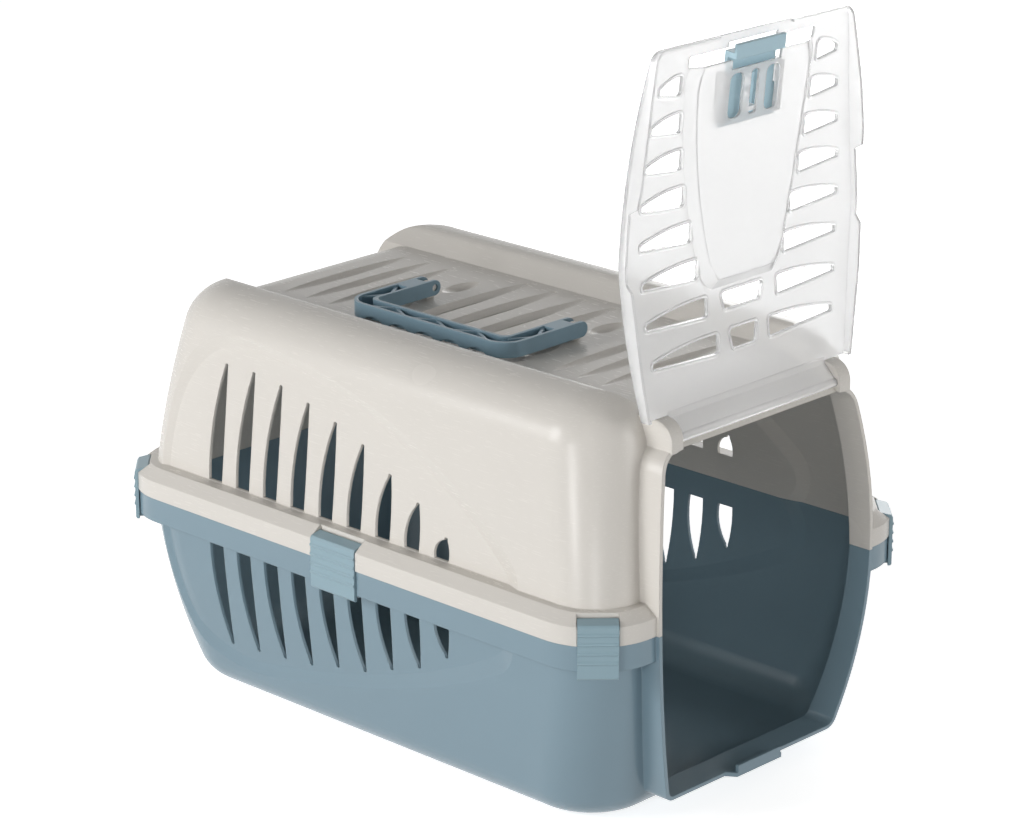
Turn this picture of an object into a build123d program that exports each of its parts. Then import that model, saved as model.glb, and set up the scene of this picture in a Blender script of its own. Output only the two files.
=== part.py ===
from build123d import *
import os
from math import atan, cos, degrees, radians, sin, sqrt, tan

os.makedirs("parts", exist_ok=True)

# Driving dimensions of the two shells. X is the width, the door faces -Y and Z is up.
RIM_LENGTH = 480.0
RIM_WIDTH = 330.0
RIM_CORNER = 49.0
SPLIT_HEIGHT = 145.0
LID_HEIGHT = 151.5
FLANGE = 13.0
WALL = 2.4
CROWN_INSET = 21.0
CROWN_CORNER = 46.0
CROWN_ROUND = 37.0
LID_BULGE = 3.0
FOOT_INSET = 21.0
FOOT_CORNER = 54.0
TUB_ROUND = 26.0
TUB_BULGE = 5.0

# Rim bands
TUB_BAND_HEIGHT = 18.0
SKIRT_HEIGHT = 13.0
SKIRT_SLOPE_HEIGHT = 7.0
SKIRT_SLOPE_RUN = 9.0
BAND_WALL = 2.0
BAND_STEP = 1.0

# Roof between the two rails
RAIL_WIDTH = 37.0
ROOF_DEPTH = 13.5
ROOF_SLOPE = 13.0
RAIL_SKIRT = 20.0
RAIL_ROUND = 12.0
RAIL_CREST = 8.0
FLUTE_RADIUS = 8.5
FLUTE_LIFT = 4.0
FLUTE_HALF_LENGTH = 108.0
FLUTE_END_GAP = 8.0
BLIND_FLUTE_RADIUS = 7.4
BLIND_FLUTE_HALF_LENGTH = 92.0
BLIND_FLUTE_PITCH = 22.5
BLIND_FLUTE_COUNT = 3
BLIND_FLUTE_REACH = 109.0
ARM_HOLLOW_RADIUS = 8.6
ARM_HOLLOW_X = 34.0
ARM_HOLLOW_HALF_LENGTH = 24.0
ROOF_SLOT_HALF_LENGTH = 44.0
ROOF_SLOT_WIDTH = 6.5
ROOF_SLOT_COUNT = 4
ROOF_PITCH = 28.5

# Air slots in the side walls, from the rear forwards, and the shallow field around them
SLOT_REAR_Y = 144.9
SLOT_PITCH = 28.1
SLOT_WIDTH = 13.5
SLOT_TIP_SHIFT = 3.3
SLOT_TIP_HALF = 1.5
SLOT_TIP_ROUND = 2.2
LID_SLOT_BOTTOM = 165.4
TUB_SLOT_TOP = 126.5
FIELD_DEPTH = 3.8
FIELD_SLOPE = 70.0
FIELD_END_ROUND = 4.0
FIELD_REAR_Y = 184.0
FIELD_FRONT_Y = -140.0
LID_FIELD_HEIGHT = 108.0
TUB_FIELD_HEIGHT = 96.0

# Front opening and its neck
NECK_FOOT_HALF = 87.0
NECK_BOTTOM = 16.0
NECK_TOP = 267.0
NECK_TOP_HALF = 96.5
NECK_HALF_WIDTH = 110.0
NECK_WALL = 3.0
NECK_FOOT_RADIUS = 9.0
NECK_TOP_RADIUS = 20.0
NECK_BELLY_DROP = 9.0
NECK_ROOT = 25.0
LIP_FOOT_SETBACK = 9.4
LIP_BELLY_REACH = 2.4
LIP_HEAD_SETBACK = 8.5

# Door, drawn as it stands when it is open
HINGE_SETBACK = 11.0
HINGE_LIFT = 3.5
DOOR_LEAF = 13.5
DOOR_OVERHANG = 1.0
DOOR_WALL = 2.0
DOOR_BOW = 9.0
DOOR_EDGE_OFFSET = 9.0
DOOR_HALF_HINGE = 103.0
DOOR_HALF_WIDEST = 116.8
DOOR_HALF_FREE = 96.5
DOOR_HALF_LOWER = 111.2
DOOR_HALF_UPPER = 109.4
DOOR_WIDEST = 117.5
DOOR_CORNER = 9.0
DOOR_PLANE_OFFSET = 11.0
DOOR_BEAD = 0.8
DOOR_BEAD_WIDTH = 1.7
# Leaf-shaped openings on each side: distance from the hinge, inner end, outer end
DOOR_SLOTS = [
    (228.5, 67.0, 88.0),
    (203.5, 64.0, 92.5),
    (178.5, 61.0, 95.7),
    (153.5, 57.0, 98.4),
    (128.0, 49.5, 98.6),
    (102.0, 43.0, 97.0),
    (75.0, 35.0, 94.8),
    (48.5, 25.5, 90.6),
]
# Centre openings: lower and upper edge as distances from the hinge, and half width at each
DOOR_CENTRE_SLOTS = [(69.5, 82.0, 17.5, 21.5), (42.0, 56.0, 11.5, 14.5)]
# Front edge of the door's side flange between its two ends: distance from the hinge and Y behind it
FLANGE_FREE_Y = 6.5
FLANGE_EDGE = [
    (234.5, 6.0),
    (199.5, 5.4),
    (169.5, 6.2),
    (157.5, 7.7),
    (153.5, 14.2),
    (107.5, 14.0),
    (102.5, 9.6),
    (74.5, 7.5),
    (39.5, 6.2),
]
FLANGE_HINGE_Y = 4.5
FLANGE_BACK = 39.0
HINGE_PIN_RADIUS = 2.5
HINGE_BARREL_RADIUS = 3.2
PIN_CLEARANCE = 0.08
RUNNING_GAP = 0.4
CHEEK_INNER = 80.0
CHEEK_WIDTH = 11.0
CHEEK_NOSE = 5.0
CHEEK_COVER = 2.4

# Latch slider on the door's outer face
LATCH_REACH = 216.5
LATCH_HALF_WIDTH = 27.0
LATCH_FOOT = 21.0
LATCH_PLATE = 2.4
PANEL_RISE = 5.0
PANEL_LOW = 85.5
PANEL_HIGH = 245.5
PANEL_HALF_LOW = 38.0
PANEL_HALF_HIGH = 63.5
PANEL_SLOPE = 58.0
PANEL_CORNER = 9.0
TONGUE_HALF_WIDTH = 24.0
TONGUE_SLOT_HALF = 62.0
TONGUE_SLOT_LOW = 238.5
TONGUE_SLOT_HIGH = 246.5
TONGUE_REACH = 7.7
TONGUE_THICK = 4.0
TONGUE_BARB = 6.0
SPRING_WIRE = 1.2
SPRING_TURNS = 4
PEG_HEIGHT = 3.0
LATCH_WINDOW_HALF = 5.0
LATCH_WINDOW_LOW = -16.0
LATCH_WINDOW_HIGH = 10.0
PEG_LOW = -14.5
CATCH_HALF_WIDTH = 22.0
CATCH_HEIGHT = 24.0
SILL_HALF_WIDTH = 30.0

# Carrying handle, drawn folded down towards -X
ROOF_CENTRE_Y = 7.0
HANDLE_HALF_SPAN = 71.0
HANDLE_SIDE_GAP = 6.0
HANDLE_WIDTH = 15.0
HANDLE_HEIGHT = 11.0
HANDLE_WALL = 2.6
HANDLE_CORNER = 17.0
HANDLE_FLOOR = 2.4
HANDLE_OPEN_END = 6.5
HANDLE_PLAIN_END = 25.0
HANDLE_NOTCH_COUNT = 5
HANDLE_NOTCH_PITCH = 25.0
HANDLE_NOTCH_RADIUS = 15.5
HANDLE_NOTCH_DEPTH = 3.4
TRUSS_WALL = 2.2
TRUSS_BAYS = 6
TRUSS_ARM_BAYS = 2
TRUSS_DROP = 1.2
HANDLE_PIVOT_LIFT = 8.5
HANDLE_PIN_RADIUS = 2.5
HANDLE_COVER = 1.0
EAR_WIDTH = 5.0

# Rim clips
CLIP_SIDE_WIDTH = 43.0
CLIP_CORNER_WIDTH = 27.0
CLIP_SIDE_Y = 6.3
CLIP_SETBACK = 2.4
CLIP_PLATE = 2.6
CLIP_GAP = 0.4
CLIP_PIVOT_INSET = 6.6
CLIP_PIVOT_DROP = 19.0
CLIP_BARREL_RADIUS = 2.9
CLIP_PIN_RADIUS = 1.8
CLIP_LUG = 2.4
CLIP_HOOK_REACH = 7.0
CLIP_RIB_COUNT = 4
CLIP_RIB_PITCH = 6.5
CLIP_TRUNNION = 2.0
CLIP_PAD_MARGIN = 6.0

# Tips of the air slots, from the rear forwards
LID_SLOT_TIPS = [251.0, 251.0, 248.0, 242.0, 235.0, 226.0, 212.0, 199.0, 182.0]
TUB_SLOT_TIPS = [39.0, 41.0, 44.0, 47.0, 54.0, 59.0, 69.0, 79.0, 95.0]

# Sizes worked out from the driving dimensions
BODY_HALF_WIDTH = RIM_WIDTH / 2 - FLANGE
BODY_HALF_LENGTH = RIM_LENGTH / 2 - FLANGE
BODY_CORNER = RIM_CORNER - FLANGE
CROWN_Z = SPLIT_HEIGHT + LID_HEIGHT
ROOF_Z = CROWN_Z - ROOF_DEPTH
ROOF_HALF_WIDTH = BODY_HALF_WIDTH - CROWN_INSET - RAIL_WIDTH
FLUTE_TRIM = ROOF_HALF_WIDTH - ROOF_SLOPE - FLUTE_END_GAP
HANDLE_REACH = ROOF_HALF_WIDTH - ROOF_SLOPE - HANDLE_SIDE_GAP
FAR = 400.0
FRONT_Y = -RIM_LENGTH / 2
LIP_FOOT_Y = FRONT_Y + LIP_FOOT_SETBACK
LIP_BELLY_Y = FRONT_Y - LIP_BELLY_REACH
LIP_HEAD_Y = FRONT_Y + LIP_HEAD_SETBACK
HINGE_Y = FRONT_Y + HINGE_SETBACK
HINGE_Z = NECK_TOP + HINGE_LIFT
DOOR_BOTTOM = HINGE_Z + DOOR_LEAF
DOOR_TOP = 2 * HINGE_Z - NECK_BOTTOM + DOOR_OVERHANG
DOOR_WIDEST_Z = HINGE_Z + DOOR_WIDEST
DOOR_EDGE_Y = HINGE_Y + DOOR_EDGE_OFFSET
DOOR_PLANE_Y = HINGE_Y - DOOR_PLANE_OFFSET
DOOR_BACK_Y = HINGE_Y + FLANGE_BACK
LATCH_Z = HINGE_Z + LATCH_REACH
PANEL_LOW_Z = HINGE_Z + PANEL_LOW
PANEL_HIGH_Z = HINGE_Z + PANEL_HIGH
DOOR_MID_Z = (DOOR_BOTTOM + DOOR_TOP) / 2
DOOR_HALF_LENGTH = (DOOR_TOP - DOOR_BOTTOM) / 2
DOOR_RADIUS = (DOOR_HALF_LENGTH**2 + DOOR_BOW**2) / (2 * DOOR_BOW)
NECK_BACK_Y = -BODY_HALF_LENGTH + NECK_ROOT
HANDLE_Z = ROOF_Z + HANDLE_PIVOT_LIFT
CHEEK_TOP = DOOR_BOTTOM - RUNNING_GAP
CATCH_FRONT_Y = 2 * HINGE_Y - DOOR_EDGE_Y + 0.3
CATCH_THICK = 2.8
LATCH_INNER = 0.2
RAIL_PROUD = 4.2
TONGUE_FOOT = 24.5
TONGUE_BARB_THICK = 2.4
SPRING_GAP = 0.5
TONGUE_WINDOW_LOW = 232.0
TONGUE_WINDOW_HIGH = 250.0
PANEL_HOLE = 214.0
PANEL_HOLE_X = 18.0
PANEL_HOLE_HEIGHT = 30.0


def body_section(z, inset):
    """Rounded outline of the shells at a height, moved in by the inset."""
    if z > SPLIT_HEIGHT:
        share = (z - SPLIT_HEIGHT) / LID_HEIGHT
        lean = CROWN_INSET * share - 4 * LID_BULGE * share * (1 - share)
        corner = BODY_CORNER + (CROWN_CORNER - BODY_CORNER) * share
    else:
        share = (SPLIT_HEIGHT - z) / SPLIT_HEIGHT
        lean = FOOT_INSET * share - 4 * TUB_BULGE * share * (1 - share)
        corner = BODY_CORNER + (FOOT_CORNER - BODY_CORNER) * share
    with BuildSketch(Plane.XY.offset(z)) as section:
        RectangleRounded(
            2 * (BODY_HALF_WIDTH - lean - inset),
            2 * (BODY_HALF_LENGTH - lean - inset),
            corner - inset,
        )
    return section.sketch


def tub_form(inset):
    """Boat-shaped block of the lower shell, every face moved in by the inset."""
    with BuildPart() as form:
        loft([body_section(z, inset) for z in (inset, (inset + SPLIT_HEIGHT) / 2, SPLIT_HEIGHT)])
        fillet(form.edges().group_by(Axis.Z)[0], TUB_ROUND - inset)
    return form.part


def lid_block(inset, height):
    """Crowned block of the upper shell up to a height above the split."""
    top = LID_HEIGHT - inset
    with BuildPart() as block:
        loft([body_section(SPLIT_HEIGHT + rise, inset) for rise in (0, top / 2, top)])
        if height < LID_HEIGHT:
            with BuildSketch(Plane.XY.offset(SPLIT_HEIGHT + height - inset)):
                Rectangle(2 * FAR, 2 * FAR)
            extrude(amount=FAR, mode=Mode.SUBTRACT)
        fillet(block.edges().group_by(Axis.Z)[-1], CROWN_ROUND - inset)
    return block.part


def lid_form(inset):
    """Upper shell block with the roof sunk between its two rails."""
    crown = lid_block(inset, LID_HEIGHT)
    sunk = lid_block(inset, LID_HEIGHT - ROOF_DEPTH)
    half = ROOF_HALF_WIDTH + inset
    crest = CROWN_Z - inset
    with BuildPart() as trough:
        with BuildSketch(Plane.XZ) as section:
            Polygon(
                (-half - RAIL_CREST, crest + 9),
                (half + RAIL_CREST, crest + 9),
                (half + RAIL_CREST, crest + 0.4),
                (half, crest - 0.8),
                (half - ROOF_SLOPE, ROOF_Z - inset),
                (half - ROOF_SLOPE - 4, ROOF_Z - RAIL_SKIRT),
                (-half + ROOF_SLOPE + 4, ROOF_Z - RAIL_SKIRT),
                (-half + ROOF_SLOPE, ROOF_Z - inset),
                (-half, crest - 0.8),
                (-half - RAIL_CREST, crest + 0.4),
                align=None,
            )
            fillet(section.vertices().group_by(Axis.Y)[2], RAIL_ROUND - inset)
        extrude(amount=FAR, both=True)
        add(sunk, mode=Mode.SUBTRACT)
    with BuildPart() as form:
        add(crown)
        add(trough.part, mode=Mode.SUBTRACT)
    return form.part


def rim_block(inset, z_low, z_high):
    """Straight block with the rim's rounded outline."""
    with BuildPart() as block:
        with BuildSketch(Plane.XY.offset(z_low)):
            RectangleRounded(RIM_WIDTH - 2 * inset, RIM_LENGTH - 2 * inset, RIM_CORNER - inset)
        extrude(amount=z_high - z_low)
    return block.part


def skirt_block(inset):
    """Lid skirt block: an upright band with a sloped shoulder that runs in to the wall."""
    with BuildPart() as block:
        with BuildSketch(Plane.XY.offset(SPLIT_HEIGHT)):
            RectangleRounded(RIM_WIDTH - 2 * inset, RIM_LENGTH - 2 * inset, RIM_CORNER - inset)
        extrude(amount=SKIRT_HEIGHT - inset / 2)
        extrude(
            block.faces().sort_by(Axis.Z)[-1],
            amount=SKIRT_SLOPE_HEIGHT - inset / 2,
            taper=degrees(atan(SKIRT_SLOPE_RUN / SKIRT_SLOPE_HEIGHT)),
        )
    return block.part


def side_field(lean, inset):
    """Prism round the air slots of both sides whose sloped edge frames the shallow field."""
    tilt = atan(CROWN_INSET / LID_HEIGHT)
    start = FIELD_DEPTH + inset + LID_BULGE
    wall = Plane(
        (BODY_HALF_WIDTH - start, 0, SPLIT_HEIGHT), x_dir=(0, 1, 0), z_dir=(cos(tilt), 0, lean * sin(tilt))
    )
    rear, front = FIELD_REAR_Y, FIELD_FRONT_Y
    with BuildPart() as field:
        with BuildSketch(wall) as outline:
            with BuildLine():
                if lean > 0:
                    end = ThreePointArc((rear, 10), (rear - 7, 48), (rear - 26, 88))
                    shoulder = TangentArc((rear - 26, 88), (118, LID_FIELD_HEIGHT), tangent=end % 1)
                    TangentArc((118, LID_FIELD_HEIGHT), (front, 10), tangent=shoulder % 1)
                else:
                    end = ThreePointArc((rear, -10), (rear - 5, -58), (rear - 25, -84))
                    shoulder = TangentArc((rear - 25, -84), (110, -TUB_FIELD_HEIGHT), tangent=end % 1)
                    TangentArc((110, -TUB_FIELD_HEIGHT), (front, -10), tangent=shoulder % 1)
                Line((front, lean * 10), (rear, lean * 10))
            make_face()
            ends = outline.vertices().sort_by(Axis.X)
            fillet([ends[0], ends[-1]], FIELD_END_ROUND)
            if inset:
                offset(amount=inset)
        extrude(amount=start + TUB_BULGE, taper=-FIELD_SLOPE)
        mirror(about=Plane.YZ)
    return field.part


def neck_outline(grow, y):
    """Outline of the front opening on a plane across Y, grown or shrunk by a distance."""
    middle = (NECK_BOTTOM + NECK_TOP) / 2 - NECK_BELLY_DROP
    with BuildSketch(Plane.XZ.offset(-y)) as outline:
        with BuildLine():
            Line((-NECK_FOOT_HALF, NECK_BOTTOM), (NECK_FOOT_HALF, NECK_BOTTOM))
            ThreePointArc(
                (NECK_FOOT_HALF, NECK_BOTTOM), (NECK_HALF_WIDTH, middle), (NECK_TOP_HALF, NECK_TOP)
            )
            Line((NECK_TOP_HALF, NECK_TOP), (-NECK_TOP_HALF, NECK_TOP))
            ThreePointArc(
                (-NECK_TOP_HALF, NECK_TOP), (-NECK_HALF_WIDTH, middle), (-NECK_FOOT_HALF, NECK_BOTTOM)
            )
        make_face()
        fillet(outline.vertices().group_by(Axis.Y)[0], NECK_FOOT_RADIUS)
        fillet(outline.vertices().group_by(Axis.Y)[-1], NECK_TOP_RADIUS)
        if grow:
            offset(amount=grow)
    return outline.sketch


def neck_block(z_low, z_high):
    """Solid neck between two heights, from behind the front wall out to its bowed lip."""
    with BuildPart() as block:
        extrude(neck_outline(0, NECK_BACK_Y), amount=60)
        with BuildSketch(Plane.YZ):
            with BuildLine():
                lip = ThreePointArc(
                    (LIP_FOOT_Y, NECK_BOTTOM),
                    (LIP_BELLY_Y, (NECK_BOTTOM + NECK_TOP) / 2),
                    (LIP_HEAD_Y, NECK_TOP),
                )
                Polyline(lip @ 1, (NECK_BACK_Y, NECK_TOP), (NECK_BACK_Y, NECK_BOTTOM), lip @ 0)
            make_face()
        extrude(amount=FAR, both=True, mode=Mode.INTERSECT)
        with BuildSketch(Plane.XY.offset(z_low)):
            Rectangle(FAR, 2 * FAR)
        extrude(amount=z_high - z_low, mode=Mode.INTERSECT)
    return block.part


def air_slots(base, tips):
    """Row of pointed slots along Y that cut both side walls, each from a flat base to its tip."""
    with BuildPart() as slots:
        with BuildSketch(Plane.YZ):
            for index, tip in enumerate(tips):
                y = SLOT_REAR_Y - index * SLOT_PITCH
                belly = base + (tip - base) * 0.55
                half = SLOT_WIDTH / 2
                end_y = y - SLOT_TIP_SHIFT
                end_z = tip - SLOT_TIP_ROUND * (1 if tip > base else -1)
                with BuildLine():
                    left = ThreePointArc(
                        (y - half, base), (y - half * 0.99, belly), (end_y - SLOT_TIP_HALF, end_z)
                    )
                    right = ThreePointArc(
                        (y + half, base), (y + half * 0.82, belly), (end_y + SLOT_TIP_HALF, end_z)
                    )
                    ThreePointArc(left @ 1, (end_y, tip), right @ 1)
                    Line(left @ 0, right @ 0)
                make_face()
        extrude(amount=RIM_WIDTH, both=True)
    return slots.part


def roof_flutes(inset):
    """Spindle-shaped hollows across the roof: over the slots, behind and before them, by the arms."""
    spindles = []
    for index in range(ROOF_SLOT_COUNT):
        y = ROOF_CENTRE_Y + (index - (ROOF_SLOT_COUNT - 1) / 2) * ROOF_PITCH
        spindles.append((0, y, FLUTE_HALF_LENGTH, FLUTE_RADIUS))
    for index in range(BLIND_FLUTE_COUNT):
        for sign in (-1, 1):
            y = ROOF_CENTRE_Y + sign * (BLIND_FLUTE_REACH + index * BLIND_FLUTE_PITCH)
            spindles.append((0, y, BLIND_FLUTE_HALF_LENGTH, BLIND_FLUTE_RADIUS))
    for sign in (-1, 1):
        y = ROOF_CENTRE_Y + sign * HANDLE_HALF_SPAN
        for side in (-1, 1):
            spindles.append((side * ARM_HOLLOW_X, y, ARM_HOLLOW_HALF_LENGTH, ARM_HOLLOW_RADIUS))
    axis_z = ROOF_Z + FLUTE_LIFT
    with BuildPart() as flutes:
        for x, y, half_length, radius in spindles:
            with BuildSketch(Plane((0, y, axis_z), x_dir=(1, 0, 0), z_dir=(0, -1, 0))):
                with BuildLine():
                    bow = ThreePointArc(
                        (x - half_length - inset, 0), (x, radius + inset), (x + half_length + inset, 0)
                    )
                    Line(bow @ 0, bow @ 1)
                make_face()
                Rectangle(2 * FLUTE_TRIM, 4 * FLUTE_RADIUS, mode=Mode.INTERSECT)
            revolve(axis=Axis((0, y, axis_z), (1, 0, 0)))
    return flutes.part


def roof_slots():
    """Open lancet slots in the bottoms of the roof flutes."""
    with BuildPart() as slots:
        with BuildSketch(Plane.XY.offset(ROOF_Z - RAIL_SKIRT)):
            for index in range(ROOF_SLOT_COUNT):
                y = ROOF_CENTRE_Y + (index - (ROOF_SLOT_COUNT - 1) / 2) * ROOF_PITCH
                half = ROOF_SLOT_WIDTH / 2
                with BuildLine():
                    ThreePointArc((-ROOF_SLOT_HALF_LENGTH, y), (0, y + half), (ROOF_SLOT_HALF_LENGTH, y))
                    ThreePointArc((ROOF_SLOT_HALF_LENGTH, y), (0, y - half), (-ROOF_SLOT_HALF_LENGTH, y))
                make_face()
        extrude(amount=2 * RAIL_SKIRT)
    return slots.part


def clip_frame(name):
    """Plane of a clip: X points out of the rim, Y is up and Z runs along the rim."""
    side, place = name.split("_")
    sign = -1 if side == "left" else 1
    if place == "middle":
        origin = (sign * (RIM_WIDTH / 2 - CLIP_SETBACK), CLIP_SIDE_Y, 0)
        out = (sign, 0, 0)
    else:
        end = -1 if place == "front" else 1
        spread = (RIM_CORNER - CLIP_SETBACK) * sqrt(0.5)
        origin = (
            sign * (RIM_WIDTH / 2 - RIM_CORNER + spread),
            end * (RIM_LENGTH / 2 - RIM_CORNER + spread),
            0,
        )
        out = (sign * sqrt(0.5), end * sqrt(0.5), 0)
    return Plane(origin, x_dir=out, z_dir=(out[1], -out[0], 0))


def clip_width(name):
    return CLIP_SIDE_WIDTH if name.endswith("middle") else CLIP_CORNER_WIDTH


def clip_lugs(name):
    """Two lugs in the channel under the tub's rim, bored for a clip's trunnions."""
    frame = clip_frame(name)
    pivot_z = SPLIT_HEIGHT - CLIP_PIVOT_DROP
    deep = -FLANGE - 5.4
    centre = clip_width(name) / 2 - CLIP_PLATE - CLIP_LUG / 2
    with BuildPart() as lugs:
        for shift in (-centre, centre):
            with BuildSketch(frame.offset(shift - CLIP_LUG / 2)):
                Polygon(
                    (deep, SPLIT_HEIGHT - BAND_WALL),
                    (-BAND_WALL / 2, SPLIT_HEIGHT - BAND_WALL),
                    (-BAND_WALL / 2, SPLIT_HEIGHT - TUB_BAND_HEIGHT + 1),
                    (-CLIP_PIVOT_INSET + CLIP_BARREL_RADIUS, pivot_z - CLIP_BARREL_RADIUS),
                    (-CLIP_PIVOT_INSET - CLIP_BARREL_RADIUS, pivot_z - CLIP_BARREL_RADIUS),
                    (deep, pivot_z + 6),
                    align=None,
                )
                with Locations((-CLIP_PIVOT_INSET, pivot_z)):
                    Circle(CLIP_PIN_RADIUS + PIN_CLEARANCE, mode=Mode.SUBTRACT)
            extrude(amount=CLIP_LUG)
    return lugs.part


def clip_pad(name):
    """Solid stretch of the skirt behind a clip and under its hook."""
    width = clip_width(name) + CLIP_PAD_MARGIN
    frame = clip_frame(name)
    with BuildPart() as pad:
        with BuildSketch(frame.offset(-width / 2)):
            with Locations((-FLANGE / 2, SPLIT_HEIGHT + SKIRT_HEIGHT)):
                Rectangle(2.2 * FLANGE, 2 * SKIRT_HEIGHT + 1)
        extrude(amount=width)
    return pad.part


def band_pad(name):
    """Thickened stretch of the tub's band behind a clip."""
    width = clip_width(name) + CLIP_PAD_MARGIN
    frame = clip_frame(name)
    with BuildPart() as pad:
        with BuildSketch(frame.offset(-width / 2)):
            with Locations((0, SPLIT_HEIGHT - TUB_BAND_HEIGHT / 2)):
                Rectangle(2 * BAND_WALL, TUB_BAND_HEIGHT)
        extrude(amount=width)
        add(rim_block(BAND_STEP, SPLIT_HEIGHT - TUB_BAND_HEIGHT, SPLIT_HEIGHT), mode=Mode.INTERSECT)
    return pad.part


def clip_notch(name):
    """Flat notch across both bands that a clip's plate lies in."""
    width = clip_width(name) + 2 * RUNNING_GAP
    frame = clip_frame(name)
    with BuildPart() as notch:
        with BuildSketch(frame.offset(-width / 2)):
            with Locations((FLANGE / 2, SPLIT_HEIGHT)):
                Rectangle(FLANGE, 3 * TUB_BAND_HEIGHT)
        extrude(amount=width)
    return notch.part


def clip_pocket(name):
    """Notch in the skirt's shoulder that a clip's hook lies in."""
    width = clip_width(name) + 2 * RUNNING_GAP
    frame = clip_frame(name)
    floor = SPLIT_HEIGHT + SKIRT_HEIGHT
    with BuildPart() as pocket:
        with BuildSketch(frame.offset(-width / 2)):
            Polygon(
                (-CLIP_HOOK_REACH - 1, floor + 1.2),
                (0, floor - 1.4),
                (4, floor - 2.9),
                (4, floor + 14),
                (-CLIP_HOOK_REACH - 1, floor + 14),
                align=None,
            )
        extrude(amount=width)
    return pocket.part


def door_slab(front, back):
    """Bowed slab of the door, reaching in front of and behind its inner face."""
    middle_y = DOOR_EDGE_Y + DOOR_BOW
    with BuildPart() as slab:
        with BuildSketch(Plane.YZ):
            with BuildLine():
                inner = ThreePointArc(
                    (DOOR_EDGE_Y - front, DOOR_BOTTOM),
                    (middle_y - front, DOOR_MID_Z),
                    (DOOR_EDGE_Y - front, DOOR_TOP),
                )
                outer = ThreePointArc(
                    (DOOR_EDGE_Y + back, DOOR_BOTTOM),
                    (middle_y + back, DOOR_MID_Z),
                    (DOOR_EDGE_Y + back, DOOR_TOP),
                )
                Line(inner @ 0, outer @ 0)
                Line(inner @ 1, outer @ 1)
            make_face()
        extrude(amount=RIM_WIDTH, both=True)
    return slab.part


def door_outline(grow):
    """Outline of the open door on a plane in front of it."""
    with BuildSketch(Plane.XZ.offset(-DOOR_PLANE_Y)) as outline:
        with BuildLine():
            Line((-DOOR_HALF_HINGE, DOOR_BOTTOM), (DOOR_HALF_HINGE, DOOR_BOTTOM))
            for sign in (-1, 1):
                ThreePointArc(
                    (sign * DOOR_HALF_HINGE, DOOR_BOTTOM),
                    (sign * DOOR_HALF_LOWER, (DOOR_BOTTOM + DOOR_WIDEST_Z) / 2 - 2),
                    (sign * DOOR_HALF_WIDEST, DOOR_WIDEST_Z),
                )
                ThreePointArc(
                    (sign * DOOR_HALF_WIDEST, DOOR_WIDEST_Z),
                    (sign * DOOR_HALF_UPPER, (DOOR_WIDEST_Z + DOOR_TOP) / 2),
                    (sign * DOOR_HALF_FREE, DOOR_TOP),
                )
            Line((-DOOR_HALF_FREE, DOOR_TOP), (DOOR_HALF_FREE, DOOR_TOP))
        make_face()
        fillet(outline.vertices().group_by(Axis.Y)[-1], DOOR_CORNER)
        if grow:
            offset(amount=grow)
    return outline.sketch


def door_slots(grow):
    """All the leaf-shaped openings of the door, cut square to its plane."""
    with BuildPart() as slots:
        with BuildSketch(Plane((0, DOOR_PLANE_Y, HINGE_Z), x_dir=(1, 0, 0), z_dir=(0, -1, 0))):
            for z, near, far in DOOR_SLOTS:
                for sign in (-1, 1):
                    with BuildSketch(mode=Mode.PRIVATE) as leaf:
                        with BuildLine():
                            span = far - near
                            top = ThreePointArc(
                                (sign * near, z + 6.9),
                                (sign * (near + span * 0.6), z + 5.3),
                                (sign * far, z + 1.0),
                            )
                            low = ThreePointArc(
                                (sign * near, z - 6.6),
                                (sign * (near + span * 0.5), z - 5.0),
                                (sign * far, z - 3.2),
                            )
                            Line(top @ 0, low @ 0)
                            Line(top @ 1, low @ 1)
                        make_face()
                        fillet(leaf.vertices().group_by(Axis.X)[0 if sign > 0 else -1], 2.4)
                        fillet(leaf.vertices().group_by(Axis.X)[-1 if sign > 0 else 0], 1.6)
                        if grow:
                            offset(amount=grow)
                    add(leaf.sketch_local)
            for z_low, z_high, half_low, half_high in DOOR_CENTRE_SLOTS:
                with BuildSketch(mode=Mode.PRIVATE) as hole:
                    Polygon(
                        (-half_low, z_low), (half_low, z_low), (half_high, z_high), (-half_high, z_high),
                        align=None,
                    )
                    fillet(hole.vertices(), 2.4)
                    if grow:
                        offset(amount=grow)
                add(hole.sketch_local)
        extrude(amount=-60)
    return slots.part


def door_face_y(z):
    """Y of the door's inner face at a height on its centre line."""
    rise = sqrt(DOOR_RADIUS**2 - (z - DOOR_MID_Z) ** 2) - DOOR_RADIUS
    return DOOR_EDGE_Y + DOOR_BOW + rise


def door_plane(z_low, z_high):
    """Plane through two heights of the door's inner face, with Y up and Z towards the inside."""
    run = z_high - z_low
    lean = door_face_y(z_high) - door_face_y(z_low)
    length = sqrt(run**2 + lean**2)
    return Plane(
        (0, door_face_y(z_low), z_low), x_dir=(1, 0, 0), z_dir=(0, -run / length, lean / length)
    )


def panel_prism(shrink):
    """Raised trapezoid of the door with sloped sides, as a prism through the door."""
    start = DOOR_WALL + 4.0
    plane = door_plane(PANEL_LOW_Z, PANEL_HIGH_Z).offset(-start)
    with BuildPart() as prism:
        with BuildSketch(plane) as face:
            Polygon(
                (-PANEL_HALF_LOW, 0),
                (PANEL_HALF_LOW, 0),
                (PANEL_HALF_HIGH, PANEL_HIGH_Z - PANEL_LOW_Z),
                (-PANEL_HALF_HIGH, PANEL_HIGH_Z - PANEL_LOW_Z),
                align=None,
            )
            fillet(face.vertices(), PANEL_CORNER)
            offset(amount=start * tan(radians(PANEL_SLOPE)) - shrink)
        extrude(amount=start + PANEL_RISE + 4, taper=PANEL_SLOPE)
    return prism.part


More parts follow.
